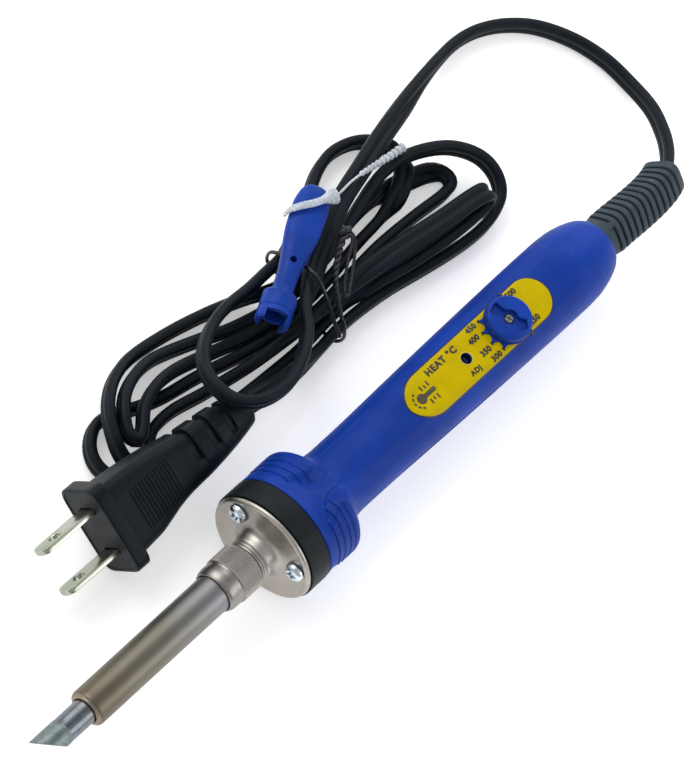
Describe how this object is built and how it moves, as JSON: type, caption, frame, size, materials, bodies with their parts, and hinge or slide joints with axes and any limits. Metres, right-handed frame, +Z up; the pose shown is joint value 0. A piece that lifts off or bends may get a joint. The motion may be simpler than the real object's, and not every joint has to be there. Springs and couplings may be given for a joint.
{
  "type": "soldering iron",
  "caption": "Hand-held soldering iron: bevelled tip in a steel sleeve, knurled nut, blue handle with temperature dial, coiled flat mains cord and moulded plug.",
  "frame": {"origin": "centre of the tip's bevelled working face, on the iron's axis", "axes": "+X from the tip back along the iron, +Z up through the dial, +Y toward the side the coiled cord lies on"},
  "size_m": [0.2778, 0.0855, 0.0333],
  "materials": {
    "tip_plated_iron": "satin iron plating, tinned at the working face",
    "sleeve_tinted_steel": "heat tinted bronze toward the front",
    "nut_nickel": "satin, straight knurl",
    "flange_stainless": "satin, lightly heat tinted",
    "screw_zinc": "bright zinc",
    "ring_phenolic": "satin moulded",
    "alumina_white": null,
    "holder_steatite": "unglazed ceramic",
    "lead_white_sleeving": "woven sleeving",
    "lead_red_sleeving": "silicone",
    "handle_blue_plastic": "satin moulded",
    "label_yellow_print": "printed film",
    "knob_blue_plastic": "satin moulded",
    "shaft_grey_plastic": "satin",
    "pot_housing_blue": "moulded",
    "trimmer_housing_blue": "moulded",
    "trimmer_rotor_blue": "moulded",
    "board_green": "solder-masked laminate",
    "component_black": "moulded",
    "chip_black": "moulded",
    "capacitor_sleeve": "shrink sleeve",
    "resistor_tan": "lacquered",
    "film_cap_yellow": "dipped",
    "clamp_nylon": "natural nylon",
    "bushing_grey_rubber": "matt moulded",
    "cord_black_pvc": "satin",
    "plug_black_pvc": "satin moulded",
    "blade_nickel": "nickel plated",
    "tie_black_plastic": "plastic coated wire",
    "key_blue_plastic": "satin moulded",
    "loop_tie_clear_nylon": "clear nylon"
  },
  "bodies": {
    "iron": {"flange_plate": "flange_stainless", "flange_screw_1": "screw_zinc", "flange_screw_2": "screw_zinc", "flange_screw_3": "screw_zinc", "insulating_ring": "ring_phenolic", "ceramic_heater": "alumina_white", "heater_holder": "holder_steatite", "heater_lead_1": "lead_white_sleeving", "heater_lead_2": "lead_white_sleeving", "sensor_lead_1": "lead_red_sleeving", "sensor_lead_2": "lead_red_sleeving", "handle_body": "handle_blue_plastic", "dial_label": "label_yellow_print", "potentiometer_body": "pot_housing_blue", "trimmer_body": "trimmer_housing_blue", "circuit_board": "board_green", "triac": "component_black", "control_chip": "chip_black", "filter_capacitor": "capacitor_sleeve", "dropper_resistor": "resistor_tan", "snubber_capacitor": "film_cap_yellow", "mains_lead_1": "component_black", "mains_lead_2": "component_black", "cord_clamp": "clamp_nylon", "cord_bushing": "bushing_grey_rubber", "power_cord": "cord_black_pvc", "plug_body": "plug_black_pvc", "plug_blade_1": "blade_nickel", "plug_blade_2": "blade_nickel", "twist_tie": "tie_black_plastic", "knob_key": "key_blue_plastic", "key_loop_tie": "loop_tie_clear_nylon"},
    "sleeve_unit": {"heater_sleeve": "sleeve_tinted_steel", "soldering_tip": "tip_plated_iron"},
    "nut": {"retaining_nut": "nut_nickel"},
    "dial": {"temperature_knob": "knob_blue_plastic", "potentiometer_shaft": "shaft_grey_plastic"},
    "trimmer": {"trimmer_rotor": "trimmer_rotor_blue"}
  },
  "joints": [
    {"name": "sleeve_slide", "type": "slide", "parent": "iron", "child": "sleeve_unit", "axis": [-1, 0, 0], "range_m": [0, 0.004]},
    {"name": "nut_turn", "type": "hinge", "parent": "sleeve_unit", "child": "nut", "pos_m": [0.0695, 0, 0], "axis": [-1, 0, 0], "range_deg": [0, 1440]},
    {"name": "dial_turn", "type": "hinge", "parent": "iron", "child": "dial", "pos_m": [0.1769, 0, 0.0105], "axis": [0, 0, -1], "range_deg": [-10, 235]},
    {"name": "trimmer_turn", "type": "hinge", "parent": "iron", "child": "trimmer", "pos_m": [0.1602, 0, 0.0055], "axis": [0, 0, 1], "range_deg": [-135, 135]}
  ],
  "couplings": [
    {"joint": "nut_turn", "follows": "sleeve_slide", "rad_per_m": 6283.2}
  ]
}
